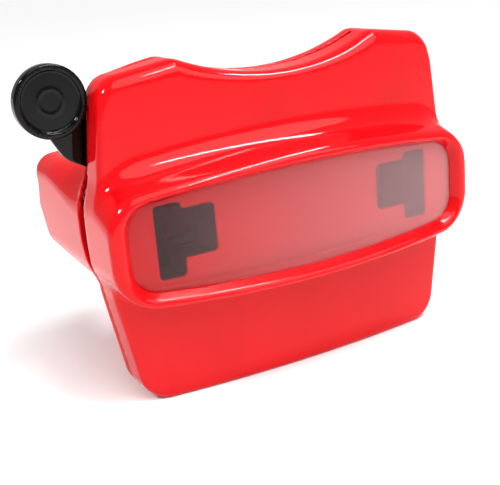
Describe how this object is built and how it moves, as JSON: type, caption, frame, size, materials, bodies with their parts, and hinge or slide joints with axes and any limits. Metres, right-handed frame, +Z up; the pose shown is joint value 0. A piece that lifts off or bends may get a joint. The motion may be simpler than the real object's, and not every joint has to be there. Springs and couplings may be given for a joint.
{
  "type": "stereo reel viewer",
  "caption": "Hand-held red plastic stereo viewer for round picture reels, with a frosted front window, side advance lever, eye tubes and lenses.",
  "frame": {"origin": "centre of the viewer's footprint box, on the surface it stands on", "axes": "+X to the right as seen from the window side, +Y from the window towards the eyepieces, +Z up; the lever is on the -X side"},
  "size_m": [0.1334, 0.09, 0.0975],
  "materials": {
    "red_plastic": "glossy injection-moulded red polystyrene",
    "black_gloss_plastic": "glossy black moulded plastic",
    "black_satin_plastic": "satin black moulded plastic",
    "frosted_plastic": "frosted translucent acrylic",
    "lens_plastic": "clear polished acrylic",
    "steel": "zinc-plated steel",
    "spring_steel": "blued spring steel",
    "brass": "plain brass"
  },
  "bodies": {
    "housing": {"front_shell": "red_plastic", "rear_shell": "red_plastic", "diffuser_window": "frosted_plastic", "reel_guide_plate": "black_satin_plastic", "mechanism_plate": "black_satin_plastic", "reel_spring_left": "spring_steel", "reel_spring_right": "spring_steel", "eye_tube_left": "red_plastic", "eye_tube_right": "red_plastic", "lens_left": "lens_plastic", "lens_ring_left": "black_satin_plastic", "lens_right": "lens_plastic", "lens_ring_right": "black_satin_plastic", "pivot_pin": "steel", "pivot_washer": "brass", "return_spring": "spring_steel", "case_screw_upper_left": "steel", "case_screw_upper_right": "steel", "case_screw_lower_left": "steel", "case_screw_lower_right": "steel", "plate_screw_left": "steel", "plate_screw_right": "steel"},
    "lever": {"advance_lever": "black_gloss_plastic", "claw_rivet": "brass"},
    "claw": {"reel_claw": "spring_steel"}
  },
  "joints": [
    {"name": "lever_press", "type": "hinge", "parent": "housing", "child": "lever", "pos_m": [-0.00648, -0.01715, 0.05913], "axis": [0, -1, 0], "range_deg": [0, 28], "stiffness_Nm_per_rad": 0.12, "springref_deg": -28.65, "deforming": ["return_spring"]},
    {"name": "claw_flex", "type": "hinge", "parent": "lever", "child": "claw", "pos_m": [0.00618, -0.0158, 0.04497], "axis": [0.7455, 0, 0.6665], "range_deg": [0, 7], "stiffness_Nm_per_rad": 0.004, "springref_deg": -5.73}
  ]
}
